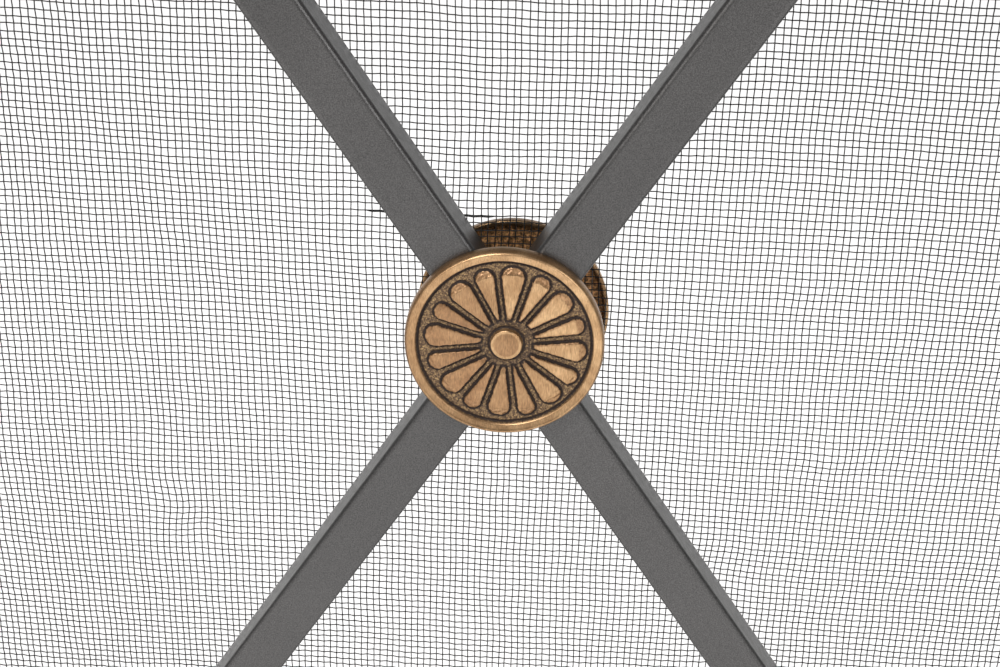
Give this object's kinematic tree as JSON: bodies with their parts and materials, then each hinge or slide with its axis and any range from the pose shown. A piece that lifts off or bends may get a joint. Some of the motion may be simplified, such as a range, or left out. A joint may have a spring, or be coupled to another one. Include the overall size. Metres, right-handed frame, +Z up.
{
  "type": "fireplace screen",
  "caption": "Folding fireplace screen with square-tube frames, crossed bars, woven wire cloth, cast rosettes at the crossings and hinged side wings.",
  "frame": {"origin": "on the floor, in the middle of the screen's width and of its depth at rest", "axes": "+Z up, +X along the hearth to the right as seen from the room, +Y from the room towards the fire"},
  "size_m": [0.939, 0.1636, 0.766],
  "materials": {
    "frame_paint": "satin gunmetal powder coat with a fine grain",
    "wire": "black-coated woven wire",
    "aged_brass": "cast brass, hand-rubbed highlights over a dark brown patina",
    "hinge_steel": "oil-rubbed dark steel",
    "screw_steel": "blackened steel"
  },
  "bodies": {
    "centre_panel": {"centre_top_rail": "frame_paint", "centre_bottom_rail": "frame_paint", "centre_left_stile": "frame_paint", "centre_right_stile": "frame_paint", "centre_through_bar": "frame_paint", "centre_upper_half_bar": "frame_paint", "centre_lower_half_bar": "frame_paint", "centre_wire_cloth": "wire", "centre_clamp_strips": "frame_paint", "centre_clamp_screws": "screw_steel", "centre_front_rosette": "aged_brass", "centre_rear_rosette": "aged_brass", "centre_rosette_spacer": "screw_steel", "centre_rosette_stud": "screw_steel", "centre_feet": "aged_brass", "left_upper_hinge_frame_leaf": "hinge_steel", "left_upper_hinge_pin": "hinge_steel", "left_lower_hinge_frame_leaf": "hinge_steel", "left_lower_hinge_pin": "hinge_steel", "right_upper_hinge_frame_leaf": "hinge_steel", "right_upper_hinge_pin": "hinge_steel", "right_lower_hinge_frame_leaf": "hinge_steel", "right_lower_hinge_pin": "hinge_steel", "centre_hinge_screws": "screw_steel"},
    "left_wing": {"left_wing_top_rail": "frame_paint", "left_wing_bottom_rail": "frame_paint", "left_wing_outer_stile": "frame_paint", "left_wing_hinge_stile": "frame_paint", "left_wing_through_bar": "frame_paint", "left_wing_upper_half_bar": "frame_paint", "left_wing_lower_half_bar": "frame_paint", "left_wing_wire_cloth": "wire", "left_wing_clamp_strips": "frame_paint", "left_wing_clamp_screws": "screw_steel", "left_wing_front_rosette": "aged_brass", "left_wing_rear_rosette": "aged_brass", "left_wing_rosette_spacer": "screw_steel", "left_wing_rosette_stud": "screw_steel", "left_wing_feet": "aged_brass", "left_upper_hinge_wing_leaf": "hinge_steel", "left_lower_hinge_wing_leaf": "hinge_steel", "left_wing_hinge_screws": "screw_steel"},
    "right_wing": {"right_wing_top_rail": "frame_paint", "right_wing_bottom_rail": "frame_paint", "right_wing_outer_stile": "frame_paint", "right_wing_hinge_stile": "frame_paint", "right_wing_through_bar": "frame_paint", "right_wing_upper_half_bar": "frame_paint", "right_wing_lower_half_bar": "frame_paint", "right_wing_wire_cloth": "wire", "right_wing_clamp_strips": "frame_paint", "right_wing_clamp_screws": "screw_steel", "right_wing_front_rosette": "aged_brass", "right_wing_rear_rosette": "aged_brass", "right_wing_rosette_spacer": "screw_steel", "right_wing_rosette_stud": "screw_steel", "right_wing_feet": "aged_brass", "right_upper_hinge_wing_leaf": "hinge_steel", "right_lower_hinge_wing_leaf": "hinge_steel", "right_wing_hinge_screws": "screw_steel"}
  },
  "joints": [
    {"name": "left_wing_fold", "type": "hinge", "parent": "centre_panel", "child": "left_wing", "pos_m": [-0.2557, -0.05707, 0.394], "axis": [0, 0, -1], "range_deg": [-35, 140]},
    {"name": "right_wing_fold", "type": "hinge", "parent": "centre_panel", "child": "right_wing", "pos_m": [0.2557, -0.05707, 0.394], "axis": [0, 0, 1], "range_deg": [-35, 140]}
  ]
}
